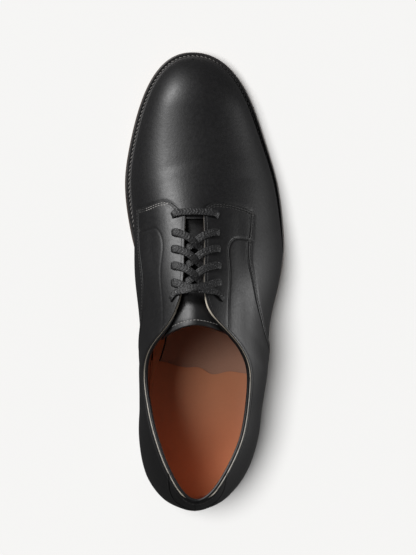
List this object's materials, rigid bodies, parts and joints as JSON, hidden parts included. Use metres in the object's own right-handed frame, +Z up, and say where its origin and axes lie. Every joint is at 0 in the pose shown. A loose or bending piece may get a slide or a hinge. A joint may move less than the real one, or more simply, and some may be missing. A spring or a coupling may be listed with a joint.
{
  "type": "derby shoe",
  "caption": "Plain-toe derby shoe for the right foot with open lacing, flat laces, a stitched welt and a stacked heel.",
  "frame": {"origin": "on the floor, under the middle of the shoe's bounding box", "axes": "+Y from heel to toe, +X towards the little-toe side, +Z up from the floor"},
  "size_m": [0.108, 0.3048, 0.1035],
  "materials": {
    "calf": "smooth black calf with a satin polish",
    "welt": "black dyed leather, stitched",
    "sole": "dark brown sole leather with waxed edges",
    "heel": "stacked leather, dyed near black and waxed",
    "rubber": "matt black rubber",
    "insole": "plain vegetable-tanned board",
    "sock": "tan lining leather",
    "lace": "flat woven waxed cotton"
  },
  "bodies": {
    "root": {"heel_top_piece": "rubber", "heel_lift_1": "heel", "heel_lift_2": "heel", "heel_lift_3": "heel", "outsole": "sole", "welt": "welt", "insole": "insole", "sock": "sock", "upper": "calf", "tongue": "calf", "lace_bar": "lace", "lace_cross_1": "lace", "lace_cross_2": "lace", "lace_cross_3": "lace", "lace_cross_4": "lace"}
  },
  "joints": []
}
